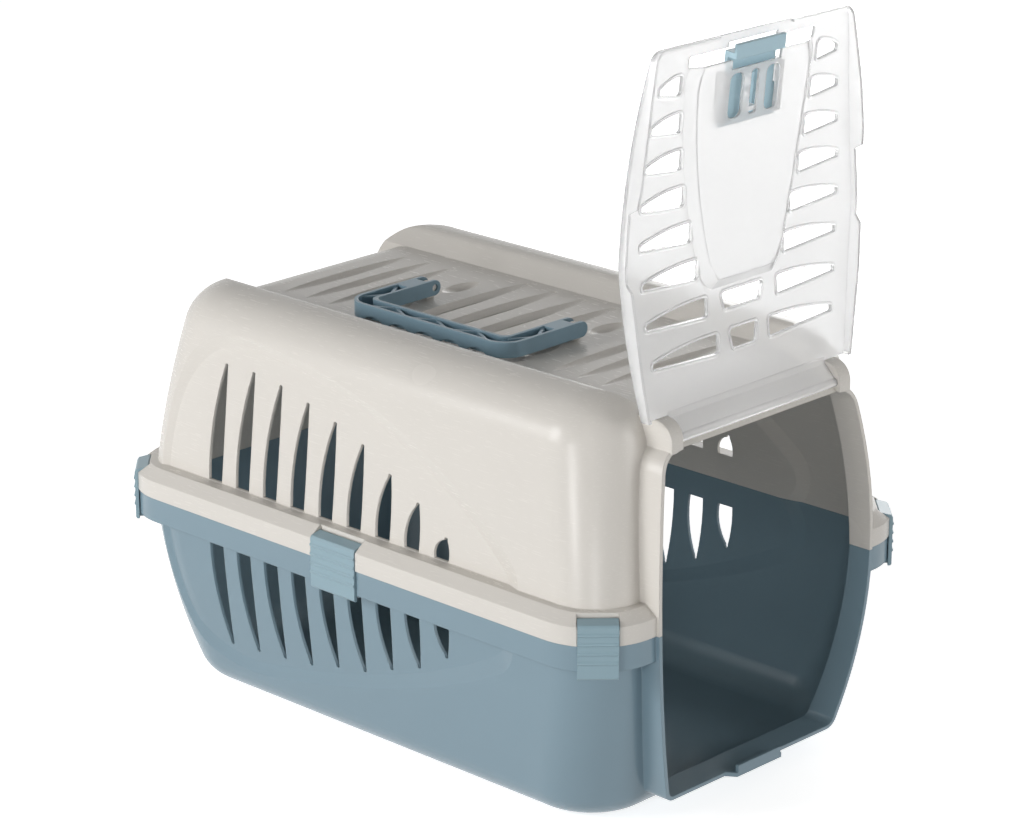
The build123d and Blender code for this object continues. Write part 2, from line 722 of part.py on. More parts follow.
def flange_region():
    """Side view of the door's flange: deep where it wraps the neck, shallow over the rim bands."""
    with BuildPart() as region:
        with BuildSketch(Plane.YZ):
            with BuildLine():
                Polyline(
                    (DOOR_BACK_Y, DOOR_TOP),
                    (HINGE_Y + FLANGE_FREE_Y, DOOR_TOP),
                    *[(HINGE_Y + back, HINGE_Z + reach) for reach, back in FLANGE_EDGE],
                    (HINGE_Y + FLANGE_HINGE_Y, DOOR_BOTTOM),
                    (DOOR_BACK_Y, DOOR_BOTTOM),
                    close=True,
                )
            make_face()
        extrude(amount=RIM_WIDTH, both=True)
    return region.part


def handle_plan(shrink, x_end):
    """Plan of the bail at its underside, walls moved in by a shrink, cut off at an X."""
    outer_span = HANDLE_HALF_SPAN + HANDLE_WIDTH / 2 - shrink
    inner_span = HANDLE_HALF_SPAN - HANDLE_WIDTH / 2 + shrink
    inner_reach = HANDLE_REACH - HANDLE_WIDTH + shrink
    with BuildSketch(Plane((0, ROOF_CENTRE_Y, HANDLE_Z - HANDLE_HEIGHT / 2))) as plan:
        RectangleRounded(2 * (HANDLE_REACH - shrink), 2 * outer_span, HANDLE_CORNER - shrink)
        RectangleRounded(
            2 * inner_reach, 2 * inner_span, HANDLE_CORNER - HANDLE_WIDTH + 4, mode=Mode.SUBTRACT
        )
        with Locations((x_end + FAR / 2, 0)):
            Rectangle(FAR, FAR, mode=Mode.SUBTRACT)
    return plan.sketch


def clip_part(name):
    """C-shaped clip: ribbed plate, hook over the skirt, and a barrel with two trunnions."""
    width = clip_width(name)
    frame = clip_frame(name)
    pivot_z = SPLIT_HEIGHT - CLIP_PIVOT_DROP
    face = CLIP_GAP + CLIP_PLATE
    hook_z = SPLIT_HEIGHT + SKIRT_HEIGHT
    foot_z = pivot_z - CLIP_BARREL_RADIUS - 0.7
    barrel = width - 2 * (CLIP_PLATE + CLIP_LUG + RUNNING_GAP)
    with BuildPart() as clip:
        with BuildSketch(frame.offset(-width / 2)):
            Polygon(
                (CLIP_GAP, foot_z),
                (face - 1, foot_z),
                (face, foot_z + 1.2),
                (face, hook_z + 0.2),
                (CLIP_GAP + 1.4, hook_z + 2.0),
                (-CLIP_HOOK_REACH + 0.8, hook_z + 4.0),
                (-CLIP_HOOK_REACH, hook_z + 3.4),
                (-CLIP_HOOK_REACH, hook_z + 1.35),
                (CLIP_GAP, hook_z - 1.05),
                align=None,
            )
            for index in range(CLIP_RIB_COUNT):
                with Locations((face - 0.5, pivot_z + 8 + index * CLIP_RIB_PITCH)):
                    Circle(1.3)
        extrude(amount=width)
        with BuildSketch(frame.offset(-barrel / 2)):
            with Locations((-CLIP_PIVOT_INSET, pivot_z)):
                Circle(CLIP_BARREL_RADIUS)
            Polygon(
                (-CLIP_PIVOT_INSET, pivot_z - CLIP_BARREL_RADIUS),
                (-CLIP_PIVOT_INSET + 2, foot_z),
                (CLIP_GAP + 1, foot_z),
                (CLIP_GAP + 1, pivot_z - 0.8),
                (-CLIP_PIVOT_INSET, pivot_z - 0.8),
                align=None,
            )
        extrude(amount=barrel)
        with BuildSketch(frame):
            with Locations((-CLIP_PIVOT_INSET, pivot_z)):
                Circle(CLIP_PIN_RADIUS)
        extrude(amount=barrel / 2 + RUNNING_GAP + CLIP_TRUNNION, both=True)
    clip.part.label = "clip_" + name
    return clip.part


CLIP_NAMES = ["left_front", "left_middle", "left_rear", "right_front", "right_middle", "right_rear"]

# Lower shell: walls, outward rim channel, lower half of the neck, catch and clip lugs
with BuildPart() as tub_cabin:
    add(tub_form(WALL))
    add(side_field(-1, WALL), mode=Mode.SUBTRACT)
    add(tub_form(WALL + FIELD_DEPTH))

with BuildPart() as tub_band:
    add(rim_block(BAND_STEP, SPLIT_HEIGHT - TUB_BAND_HEIGHT, SPLIT_HEIGHT))
    add(
        rim_block(BAND_STEP + BAND_WALL, SPLIT_HEIGHT - TUB_BAND_HEIGHT, SPLIT_HEIGHT - BAND_WALL),
        mode=Mode.SUBTRACT,
    )
    for clip_name in CLIP_NAMES:
        add(clip_lugs(clip_name))
        add(band_pad(clip_name))
    for clip_name in CLIP_NAMES:
        add(clip_notch(clip_name), mode=Mode.SUBTRACT)

with BuildPart() as tub:
    add(tub_form(0))
    add(side_field(-1, 0), mode=Mode.SUBTRACT)
    add(tub_form(FIELD_DEPTH))
    add(neck_block(NECK_BOTTOM - 1, SPLIT_HEIGHT))
    add(tub_band.part)
    with BuildSketch(Plane.XY.offset(NECK_BOTTOM)):
        Polygon(
            (-SILL_HALF_WIDTH, LIP_FOOT_Y + 3),
            (SILL_HALF_WIDTH, LIP_FOOT_Y + 3),
            (SILL_HALF_WIDTH - 7, CATCH_FRONT_Y),
            (-SILL_HALF_WIDTH + 7, CATCH_FRONT_Y),
            align=None,
        )
    extrude(amount=NECK_WALL)
    add(tub_cabin.part, mode=Mode.SUBTRACT)
    extrude(neck_outline(-NECK_WALL, NECK_BACK_Y + 15), amount=80, mode=Mode.SUBTRACT)
    with BuildSketch(Plane.XY.offset(NECK_BOTTOM + NECK_WALL)):
        with Locations((0, CATCH_FRONT_Y + CATCH_THICK / 2)):
            Rectangle(2 * CATCH_HALF_WIDTH, CATCH_THICK)
    extrude(amount=CATCH_HEIGHT - NECK_BOTTOM - NECK_WALL)
    add(air_slots(TUB_SLOT_TOP, TUB_SLOT_TIPS), mode=Mode.SUBTRACT)
tub.part.label = "tub"

# Upper shell: walls, roof with its slots, skirt, upper half of the neck, cheeks and handle ears
with BuildPart() as skirt_hollow:
    add(skirt_block(BAND_WALL))
    for clip_name in CLIP_NAMES:
        add(clip_pad(clip_name), mode=Mode.SUBTRACT)

with BuildPart() as skirt:
    add(skirt_block(0))
    add(skirt_hollow.part, mode=Mode.SUBTRACT)
    for clip_name in CLIP_NAMES:
        add(clip_pocket(clip_name), mode=Mode.SUBTRACT)
        add(clip_notch(clip_name), mode=Mode.SUBTRACT)

with BuildPart() as lid_cabin:
    add(lid_form(WALL))
    add(side_field(1, WALL), mode=Mode.SUBTRACT)
    add(lid_form(WALL + FIELD_DEPTH))
    add(roof_flutes(WALL - 0.6), mode=Mode.SUBTRACT)

with BuildPart() as lid:
    add(lid_form(0))
    add(side_field(1, 0), mode=Mode.SUBTRACT)
    add(lid_form(FIELD_DEPTH))
    add(roof_flutes(0), mode=Mode.SUBTRACT)
    add(neck_block(SPLIT_HEIGHT, NECK_TOP + 1))
    for sign in (-1, 1):
        with BuildSketch(Plane.YZ.offset(sign * CHEEK_INNER)) as cheek:
            with BuildLine():
                Polyline(
                    (HINGE_Y - CHEEK_NOSE, NECK_TOP - 4),
                    (HINGE_Y + 40, NECK_TOP - 4),
                    (HINGE_Y + 40, CHEEK_TOP),
                    (HINGE_Y + 7, CHEEK_TOP),
                )
                TangentArc(
                    (HINGE_Y + 7, CHEEK_TOP), (HINGE_Y - CHEEK_NOSE, HINGE_Z), tangent=(-1, -0.15)
                )
                Line((HINGE_Y - CHEEK_NOSE, HINGE_Z), (HINGE_Y - CHEEK_NOSE, NECK_TOP - 4))
            make_face()
        extrude(amount=sign * CHEEK_WIDTH)
    add(skirt.part)
    add(lid_cabin.part, mode=Mode.SUBTRACT)
    extrude(neck_outline(-NECK_WALL, NECK_BACK_Y + 15), amount=80, mode=Mode.SUBTRACT)
    with BuildSketch(Plane.YZ):
        Polygon(
            (HINGE_Y + 1, HINGE_Z),
            (HINGE_Y + 1, HINGE_Z - HINGE_BARREL_RADIUS - 0.2),
            (HINGE_Y - 14, HINGE_Z - HINGE_BARREL_RADIUS - 14.9),
            (HINGE_Y - 14, HINGE_Z),
            align=None,
        )
    extrude(amount=CHEEK_INNER, both=True, mode=Mode.SUBTRACT)
    with BuildSketch(Plane.YZ):
        with Locations((HINGE_Y, HINGE_Z)):
            Circle(HINGE_PIN_RADIUS + PIN_CLEARANCE)
    extrude(amount=CHEEK_INNER + CHEEK_WIDTH - CHEEK_COVER, both=True, mode=Mode.SUBTRACT)
    add(air_slots(LID_SLOT_BOTTOM, LID_SLOT_TIPS), mode=Mode.SUBTRACT)
    add(roof_slots(), mode=Mode.SUBTRACT)
    for sign in (-1, 1):
        arm_y = ROOF_CENTRE_Y + sign * HANDLE_HALF_SPAN
        with BuildSketch(Plane.XZ.offset(-arm_y)):
            with Locations((0, HANDLE_Z)):
                Circle(HANDLE_PIN_RADIUS + 1.2)
            with Locations((0, (HANDLE_Z + ROOF_Z) / 2 - 0.6)):
                Rectangle(2 * HANDLE_PIN_RADIUS + 2.4, HANDLE_PIVOT_LIFT + 1.2)
        extrude(amount=EAR_WIDTH / 2, both=True)
        with BuildSketch(Plane.XZ.offset(-arm_y)):
            with Locations((0, HANDLE_Z)):
                Circle(HANDLE_PIN_RADIUS)
        extrude(amount=HANDLE_WIDTH / 2 - HANDLE_COVER - RUNNING_GAP, both=True)
lid.part.label = "lid"

# Door: bowed plate with raised panel, leaf openings with beads, wrap-round flange and hinge leaf
with BuildPart() as door_rim:
    extrude(door_outline(0), amount=-80)
    extrude(door_outline(-DOOR_WALL), amount=-80, mode=Mode.SUBTRACT)
    add(flange_region(), mode=Mode.INTERSECT)
    with BuildSketch(Plane.XY.offset(DOOR_BOTTOM)):
        with Locations((0, HINGE_Y + 29)):
            Rectangle(2 * (DOOR_HALF_HINGE - DOOR_WALL - 1), 100)
    extrude(amount=2 * DOOR_WALL, mode=Mode.SUBTRACT)
    with BuildSketch(Plane.XY.offset(DOOR_TOP - 2 * DOOR_WALL)):
        with Locations((0, HINGE_Y + 29)):
            Rectangle(2 * (SILL_HALF_WIDTH + 6), 100)
    extrude(amount=3 * DOOR_WALL, mode=Mode.SUBTRACT)
    add(door_slab(-DOOR_WALL / 2, 60), mode=Mode.SUBTRACT)

with BuildPart() as door_beads:
    add(door_slots(DOOR_BEAD_WIDTH))
    add(door_slab(DOOR_BEAD, DOOR_WALL / 2), mode=Mode.INTERSECT)

with BuildPart() as door_boss:
    add(panel_prism(0))
    add(door_slab(PANEL_RISE, DOOR_WALL), mode=Mode.INTERSECT)

with BuildPart() as door_pocket:
    add(panel_prism(DOOR_WALL * 1.7))
    add(door_slab(PANEL_RISE - DOOR_WALL, DOOR_WALL + 5), mode=Mode.INTERSECT)

latch_plane = door_plane(LATCH_Z - 1, LATCH_Z + 1)
with BuildPart() as door_rails:
    for sign in (-1, 1):
        with BuildSketch(latch_plane.offset(-RAIL_PROUD)):
            with Locations((sign * (LATCH_HALF_WIDTH + RUNNING_GAP + 1), -2)):
                Rectangle(2, 34)
        extrude(amount=RAIL_PROUD + PANEL_RISE - DOOR_WALL / 2)
        with BuildSketch(latch_plane.offset(-RAIL_PROUD)):
            with Locations((sign * (LATCH_HALF_WIDTH + RUNNING_GAP), -2)):
                Rectangle(4, 34)
        extrude(amount=1.6)
        with BuildSketch(latch_plane.offset(LATCH_INNER + RUNNING_GAP)):
            with Locations((sign * (LATCH_HALF_WIDTH - 1.1), -2)):
                Rectangle(1.2, 34)
        extrude(amount=PANEL_RISE - DOOR_WALL / 2 - LATCH_INNER - RUNNING_GAP)

    with BuildSketch(latch_plane.offset(LATCH_INNER - LATCH_PLATE)):
        with Locations((0, PEG_LOW + PEG_HEIGHT / 2)):
            Rectangle(2 * (LATCH_WINDOW_HALF - RUNNING_GAP), PEG_HEIGHT)
    extrude(amount=PANEL_RISE - DOOR_WALL / 2 - LATCH_INNER + LATCH_PLATE)

with BuildPart() as door:
    extrude(door_outline(0), amount=-80)
    add(door_slab(0, DOOR_WALL), mode=Mode.INTERSECT)
    add(door_rim.part)
    add(door_beads.part)
    add(door_boss.part)
    add(door_pocket.part, mode=Mode.SUBTRACT)
    add(door_slots(0), mode=Mode.SUBTRACT)
    with BuildSketch(Plane((0, DOOR_PLANE_Y, HINGE_Z), x_dir=(1, 0, 0), z_dir=(0, -1, 0))):
        with Locations((0, (TONGUE_SLOT_LOW + TONGUE_SLOT_HIGH) / 2)):
            RectangleRounded(2 * TONGUE_SLOT_HALF, TONGUE_SLOT_HIGH - TONGUE_SLOT_LOW, 2)
        with Locations((0, (TONGUE_WINDOW_LOW + TONGUE_WINDOW_HIGH) / 2)):
            Rectangle(2 * (TONGUE_HALF_WIDTH + RUNNING_GAP), TONGUE_WINDOW_HIGH - TONGUE_WINDOW_LOW)
        with Locations((-PANEL_HOLE_X, PANEL_HOLE), (PANEL_HOLE_X, PANEL_HOLE)):
            RectangleRounded(13.5, PANEL_HOLE_HEIGHT, 5)
        with Locations((0, PANEL_HOLE)):
            RectangleRounded(8, PANEL_HOLE_HEIGHT, 3)
    extrude(amount=-60, mode=Mode.SUBTRACT)
    add(door_rails.part)
    with BuildSketch(Plane.YZ):
        with Locations((HINGE_Y, HINGE_Z)):
            Circle(HINGE_BARREL_RADIUS)
        with BuildLine():
            Polyline(
                (HINGE_Y + 0.6, HINGE_Z - HINGE_BARREL_RADIUS + 0.15),
                (DOOR_EDGE_Y + DOOR_WALL, DOOR_BOTTOM - 2.5),
                (DOOR_EDGE_Y + DOOR_WALL, DOOR_BOTTOM + 2),
                (DOOR_EDGE_Y, DOOR_BOTTOM + 2),
                (DOOR_EDGE_Y - 1, DOOR_BOTTOM - 2),
                (HINGE_Y - 0.6, HINGE_Z + HINGE_BARREL_RADIUS - 0.15),
                close=True,
            )
        make_face()
    extrude(amount=CHEEK_INNER - RUNNING_GAP, both=True)
    with BuildSketch(Plane.YZ):
        with Locations((HINGE_Y, HINGE_Z)):
            Circle(HINGE_PIN_RADIUS)
    extrude(amount=CHEEK_INNER + CHEEK_WIDTH - CHEEK_COVER - RUNNING_GAP, both=True)
door.part.label = "door"

# Latch slider: thumb plate, window for its spring, tongue through the door and barbed tip
with BuildPart() as latch_slider:
    with BuildSketch(latch_plane.offset(LATCH_INNER - LATCH_PLATE)) as plate:
        with Locations((0, -LATCH_FOOT / 2 - 1)):
            Rectangle(2 * LATCH_HALF_WIDTH, LATCH_FOOT)
        with Locations((0, (TONGUE_FOOT + TONGUE_THICK - 1) / 2)):
            Rectangle(2 * TONGUE_HALF_WIDTH, TONGUE_FOOT + TONGUE_THICK + 1)
        with Locations((0, (LATCH_WINDOW_LOW + LATCH_WINDOW_HIGH) / 2)):
            Rectangle(
                2 * LATCH_WINDOW_HALF, LATCH_WINDOW_HIGH - LATCH_WINDOW_LOW, mode=Mode.SUBTRACT
            )
    extrude(amount=LATCH_PLATE)
    with BuildSketch(latch_plane.offset(LATCH_INNER - LATCH_PLATE)):
        with Locations((0, TONGUE_FOOT + TONGUE_THICK / 2)):
            Rectangle(2 * TONGUE_HALF_WIDTH, TONGUE_THICK)
    extrude(amount=TONGUE_REACH + LATCH_PLATE - LATCH_INNER)
    with BuildSketch(latch_plane.offset(TONGUE_REACH - TONGUE_BARB_THICK)):
        with Locations((0, TONGUE_FOOT + TONGUE_THICK + TONGUE_BARB / 2 - 0.5)):
            Rectangle(2 * TONGUE_HALF_WIDTH, TONGUE_BARB + 1)
    extrude(amount=TONGUE_BARB_THICK)
    for index in range(3):
        with BuildSketch(latch_plane.offset(LATCH_INNER - LATCH_PLATE - 1.4)):
            for sign in (-1, 1):
                with Locations((sign * 14, LATCH_WINDOW_LOW + 1 + index * 4.5)):
                    RectangleRounded(16, 2, 0.9)
        extrude(amount=2)
latch_slider.part.label = "latch_slider"

# Latch spring: a flat zigzag between the door's peg and the upper edge of the slider's window
with BuildPart() as latch_spring:
    low = PEG_LOW + PEG_HEIGHT + SPRING_GAP
    high = LATCH_WINDOW_HIGH - SPRING_GAP
    step = (high - low - SPRING_WIRE) / SPRING_TURNS
    reach = LATCH_WINDOW_HALF - RUNNING_GAP - 2 * SPRING_WIRE
    with BuildSketch(latch_plane.offset(LATCH_INNER - LATCH_PLATE + 0.2)):
        with BuildLine() as zigzag:
            Polyline(
                [
                    ((reach if turn % 2 else -reach), low + SPRING_WIRE / 2 + turn * step)
                    for turn in range(SPRING_TURNS + 1)
                ]
            )
        trace(line_width=SPRING_WIRE)
    extrude(amount=LATCH_PLATE - 0.4)
latch_spring.part.label = "latch_spring"

# Carrying handle: a bail of open channel section with truss ribs and finger notches
with BuildPart() as handle:
    half_height = HANDLE_HEIGHT / 2
    extrude(handle_plan(0, half_height), amount=HANDLE_HEIGHT)
    with BuildSketch(Plane.XZ):
        with Locations((0, HANDLE_Z)):
            Circle(half_height)
        with Locations((-HANDLE_REACH / 2 - 1, HANDLE_Z)):
            Rectangle(HANDLE_REACH + 2, HANDLE_HEIGHT)
    extrude(amount=RIM_LENGTH, both=True, mode=Mode.INTERSECT)
    channel = handle_plan(HANDLE_WALL, -HANDLE_PLAIN_END)
    extrude(channel.moved(Location((0, 0, HANDLE_FLOOR))), amount=HANDLE_HEIGHT, mode=Mode.SUBTRACT)
    for sign in (-1, 1):
        arm_y = ROOF_CENTRE_Y + sign * HANDLE_HALF_SPAN
        with BuildSketch(Plane.XY.offset(HANDLE_Z - half_height - 1)):
            with Locations((0, arm_y)):
                Rectangle(2 * HANDLE_OPEN_END, HANDLE_WIDTH - 2 * HANDLE_WALL)
        extrude(amount=HANDLE_HEIGHT + 2, mode=Mode.SUBTRACT)
    with BuildSketch(Plane.XZ.offset(-ROOF_CENTRE_Y)):
        with Locations((0, HANDLE_Z)):
            Circle(HANDLE_PIN_RADIUS + PIN_CLEARANCE)
    extrude(amount=HANDLE_HALF_SPAN + HANDLE_WIDTH / 2 - HANDLE_COVER, both=True, mode=Mode.SUBTRACT)
    notch_z = HANDLE_Z - half_height + HANDLE_NOTCH_DEPTH - HANDLE_NOTCH_RADIUS
    with BuildSketch(Plane.YZ.offset(-HANDLE_REACH - 1)):
        for index in range(HANDLE_NOTCH_COUNT):
            notch_y = ROOF_CENTRE_Y + (index - (HANDLE_NOTCH_COUNT - 1) / 2) * HANDLE_NOTCH_PITCH
            with Locations((notch_y, notch_z)):
                Circle(HANDLE_NOTCH_RADIUS)
    extrude(amount=HANDLE_WALL + 2, mode=Mode.SUBTRACT)
    grip_x = -HANDLE_REACH + HANDLE_WIDTH / 2
    swing = HANDLE_WIDTH / 2 - HANDLE_WALL + TRUSS_WALL / 4
    with BuildSketch(Plane((0, ROOF_CENTRE_Y, HANDLE_Z - half_height + HANDLE_FLOOR / 2))):
        bay = 2 * (HANDLE_HALF_SPAN - 12) / TRUSS_BAYS
        arm_bay = (HANDLE_REACH - HANDLE_WIDTH - HANDLE_PLAIN_END) / TRUSS_ARM_BAYS
        with BuildLine():
            Polyline(
                [
                    (grip_x + (swing if turn % 2 else -swing), (turn - TRUSS_BAYS / 2) * bay)
                    for turn in range(TRUSS_BAYS + 1)
                ]
            )
        trace(line_width=TRUSS_WALL)
        for sign in (-1, 1):
            with BuildLine():
                Polyline(
                    [
                        (
                            -HANDLE_PLAIN_END - turn * arm_bay,
                            sign * HANDLE_HALF_SPAN + (-1) ** turn * swing,
                        )
                        for turn in range(TRUSS_ARM_BAYS + 1)
                    ]
                )
            trace(line_width=TRUSS_WALL)
    extrude(amount=HANDLE_HEIGHT - HANDLE_FLOOR / 2 - TRUSS_DROP)
handle.part.label = "handle"

clips = [clip_part(clip_name) for clip_name in CLIP_NAMES]

for piece in [tub.part, lid.part, door.part, latch_slider.part, latch_spring.part, handle.part, *clips]:
    export_step(piece, "parts/" + piece.label + ".step")
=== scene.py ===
import math

import bpy
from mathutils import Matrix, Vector

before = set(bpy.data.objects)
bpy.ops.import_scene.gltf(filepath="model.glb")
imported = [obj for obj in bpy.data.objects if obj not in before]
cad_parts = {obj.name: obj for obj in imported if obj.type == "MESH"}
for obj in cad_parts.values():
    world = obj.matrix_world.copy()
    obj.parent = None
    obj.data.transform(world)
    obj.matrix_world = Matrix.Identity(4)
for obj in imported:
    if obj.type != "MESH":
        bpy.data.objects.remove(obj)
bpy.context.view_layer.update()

# Camera, solved from the photograph
CAMERA_AZIMUTH = -46.3
CAMERA_ELEVATION = 18.76
CAMERA_TARGET = (0.0052, 0.0, 0.2155)
CAMERA_DISTANCE = 2.5923
SENSOR_WIDTH = 36.0
FOCAL_PIXELS = 3673.6
IMAGE_WIDTH = 1024.0
CAMERA_REACH = 60.0

# Plastics: base colour and roughness
LID_COLOUR = (0.68, 0.65, 0.605)
TUB_COLOUR = (0.20, 0.29, 0.345)
DOOR_COLOUR = (0.97, 0.97, 0.97)
LATCH_COLOUR = (0.42, 0.60, 0.68)
SPRING_COLOUR = (0.36, 0.54, 0.62)
HANDLE_COLOUR = (0.18, 0.28, 0.345)
CLIP_COLOUR = (0.255, 0.37, 0.425)
LID_ROUGHNESS = 0.27
TUB_ROUGHNESS = 0.23
DOOR_ROUGHNESS = 0.16
LATCH_ROUGHNESS = 0.30
HANDLE_ROUGHNESS = 0.36
CLIP_ROUGHNESS = 0.34

# Depth of the finish: Subsurface, Transmission and Coat weights, and Specular IOR Level
SHELL_GLOW = 0.06
DOOR_GLOW = 0.5
DOOR_CLEAR = 0.65
DOOR_COAT = 0.35
GLOW_DEPTH = 0.004
COAT_ROUGHNESS = 0.08
PLASTIC_IOR = 1.49
PLASTIC_GLOSS = 0.5
LID_GLOSS = 0.3

# Surface detail: noise scales per metre, bump strengths and heights in metres
DRIFT_SCALE = 5.5
RIPPLE_SCALE = 85.0
GRAIN_SCALE = 1500.0
SCUFF_SCALE = 150.0
SCUFF_STRETCH = (3.0, 0.5, 9.0)
RIPPLE_STRENGTH = 0.012
RIPPLE_HEIGHT = 0.001
GRAIN_STRENGTH = 0.10
FINE_GRAIN_STRENGTH = 0.05
DOOR_GRAIN_STRENGTH = 0.02
GRAIN_HEIGHT = 0.0002
EDGE_RADIUS = 0.0011
EDGE_SAMPLES = 4
# How much lighter edges are painted: partly rubbed wear, partly a painted highlight line along every edge
EDGE_WEAR_AND_HIGHLIGHT_SHADE = 1.16

# Soft studio: area lights as (name, place, size, power)
LIGHTS = [
    ("key_softbox", (-2.0, 0.95, 0.95), 0.9, 25.0),
    ("corner_softbox", (-2.5, -0.45, 0.35), 0.6, 15.0),
    ("corner_spot", (-1.25, -1.25, 0.1), 0.3, 2.6),
    ("front_softbox", (0.9, -2.6, 0.8), 1.4, 22.0),
    ("side_softbox", (2.4, 0.9, 0.7), 1.6, 20.0),
]
LIGHT_AIM = (0.0, 0.0, 0.16)
HORIZON_STRENGTH = 0.32
ZENITH_STRENGTH = 0.10
FLOOR_COLOUR = (0.86, 0.86, 0.86)
FLOOR_GLOW = 0.72
FLOOR_HALF = 14.0
FLOOR_GAP = 0.0004

# Sockets of a Mix node that are used for colours
COLOUR_A = 6
COLOUR_B = 7
COLOUR_OUT = 2


def link_value(tree, node, socket, value):
    """Sets a socket to a number, or links another node's output to it."""
    if hasattr(value, "is_output"):
        tree.links.new(value, node.inputs[socket])
    else:
        node.inputs[socket].default_value = value


def math_node(tree, operation, first, second, clamp=False):
    node = tree.nodes.new("ShaderNodeMath")
    node.operation = operation
    node.use_clamp = clamp
    link_value(tree, node, 0, first)
    link_value(tree, node, 1, second)
    return node.outputs[0]


def noise(tree, vector, scale, detail):
    node = tree.nodes.new("ShaderNodeTexNoise")
    node.inputs["Scale"].default_value = scale
    node.inputs["Detail"].default_value = detail
    tree.links.new(vector, node.inputs["Vector"])
    return node.outputs["Fac"]


def stretched(tree, vector, scale):
    node = tree.nodes.new("ShaderNodeMapping")
    node.inputs["Scale"].default_value = scale
    tree.links.new(vector, node.inputs["Vector"])
    return node.outputs["Vector"]


def remap(tree, value, low, high, to_low, to_high):
    node = tree.nodes.new("ShaderNodeMapRange")
    for socket, number in (
        ("From Min", low), ("From Max", high), ("To Min", to_low), ("To Max", to_high)
    ):
        node.inputs[socket].default_value = number
    tree.links.new(value, node.inputs["Value"])
    return node.outputs["Result"]


def mixed(tree, factor, first, second):
    """Mixes two colours, each a plain colour or another node's output."""
    node = tree.nodes.new("ShaderNodeMix")
    node.data_type = "RGBA"
    link_value(tree, node, "Factor", factor)
    for socket, value in ((COLOUR_A, first), (COLOUR_B, second)):
        if hasattr(value, "is_output"):
            tree.links.new(value, node.inputs[socket])
        else:
            node.inputs[socket].default_value = (*value, 1.0)
    return node.outputs[COLOUR_OUT]


def shade(colour, factor):
    return tuple(min(channel * factor, 1.0) for channel in colour)


def bump(tree, height, normal, strength, distance):
    """Bumps a surface normal by a height field."""
    node = tree.nodes.new("ShaderNodeBump")
    node.inputs["Strength"].default_value = strength
    node.inputs["Distance"].default_value = distance
    tree.links.new(height, node.inputs["Height"])
    tree.links.new(normal, node.inputs["Normal"])
    return node.outputs["Normal"]


def moulded_plastic(
    name, colour, roughness, grain=GRAIN_STRENGTH, glow=0.0, coat=0.0, clear=0.0, gloss=PLASTIC_GLOSS
):
    """Injection-moulded plastic: pigment drift, faint ripple, fine grain, scuffs, edges lightened as wear
    and painted highlight.
    """
    material = bpy.data.materials.new(name)
    material.use_nodes = True
    tree = material.node_tree
    shader = tree.nodes["Principled BSDF"]
    place = tree.nodes.new("ShaderNodeTexCoord").outputs["Object"]

    drift = noise(tree, place, DRIFT_SCALE, 3.0)
    grain_noise = noise(tree, place, GRAIN_SCALE, 2.0)
    ripple = noise(tree, place, RIPPLE_SCALE, 2.0)
    scuffs = noise(tree, stretched(tree, place, SCUFF_STRETCH), SCUFF_SCALE, 3.0)

    tone = remap(tree, drift, 0.1, 0.9, 0.0, 1.0)
    base = mixed(tree, tone, shade(colour, 0.99), shade(colour, 1.01))

    bevel = tree.nodes.new("ShaderNodeBevel")
    bevel.samples = EDGE_SAMPLES
    bevel.inputs["Radius"].default_value = EDGE_RADIUS
    geometry = tree.nodes.new("ShaderNodeNewGeometry")
    facing = tree.nodes.new("ShaderNodeVectorMath")
    facing.operation = "DOT_PRODUCT"
    tree.links.new(bevel.outputs["Normal"], facing.inputs[0])
    tree.links.new(geometry.outputs["Normal"], facing.inputs[1])
    edge = remap(tree, facing.outputs["Value"], 0.98, 0.80, 0.0, 1.0)
    # Lighter edge colour, modulated by scuffs: partly rubbed wear, partly a painted edge highlight
    worn_and_highlit_edge = math_node(tree, "MULTIPLY", edge, remap(tree, scuffs, 0.35, 0.65, 0.15, 0.55))
    base = mixed(tree, worn_and_highlit_edge, base, shade(colour, EDGE_WEAR_AND_HIGHLIGHT_SHADE))
    tree.links.new(base, shader.inputs["Base Color"])

    smear = remap(tree, drift, 0.1, 0.9, -0.006, 0.008)
    worn = math_node(tree, "MULTIPLY", edge, -0.05)
    rough = math_node(tree, "ADD", math_node(tree, "ADD", smear, worn), roughness)
    scratch = remap(tree, scuffs, 0.62, 0.72, 0.0, 0.035)
    tree.links.new(math_node(tree, "ADD", rough, scratch, True), shader.inputs["Roughness"])

    rippled = bump(tree, ripple, bevel.outputs["Normal"], RIPPLE_STRENGTH, RIPPLE_HEIGHT)
    grained = bump(tree, grain_noise, rippled, grain, GRAIN_HEIGHT)
    tree.links.new(grained, shader.inputs["Normal"])

    shader.inputs["IOR"].default_value = PLASTIC_IOR
    shader.inputs["Specular IOR Level"].default_value = gloss
    shader.inputs["Subsurface Weight"].default_value = glow
    shader.inputs["Subsurface Radius"].default_value = (1.0, 1.0, 1.0)
    shader.inputs["Subsurface Scale"].default_value = GLOW_DEPTH
    shader.inputs["Transmission Weight"].default_value = clear
    shader.inputs["Coat Weight"].default_value = coat
    shader.inputs["Coat Roughness"].default_value = COAT_ROUGHNESS
    return material


def paint(node_name, material):
    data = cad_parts[node_name].data
    data.materials.clear()
    data.materials.append(material)


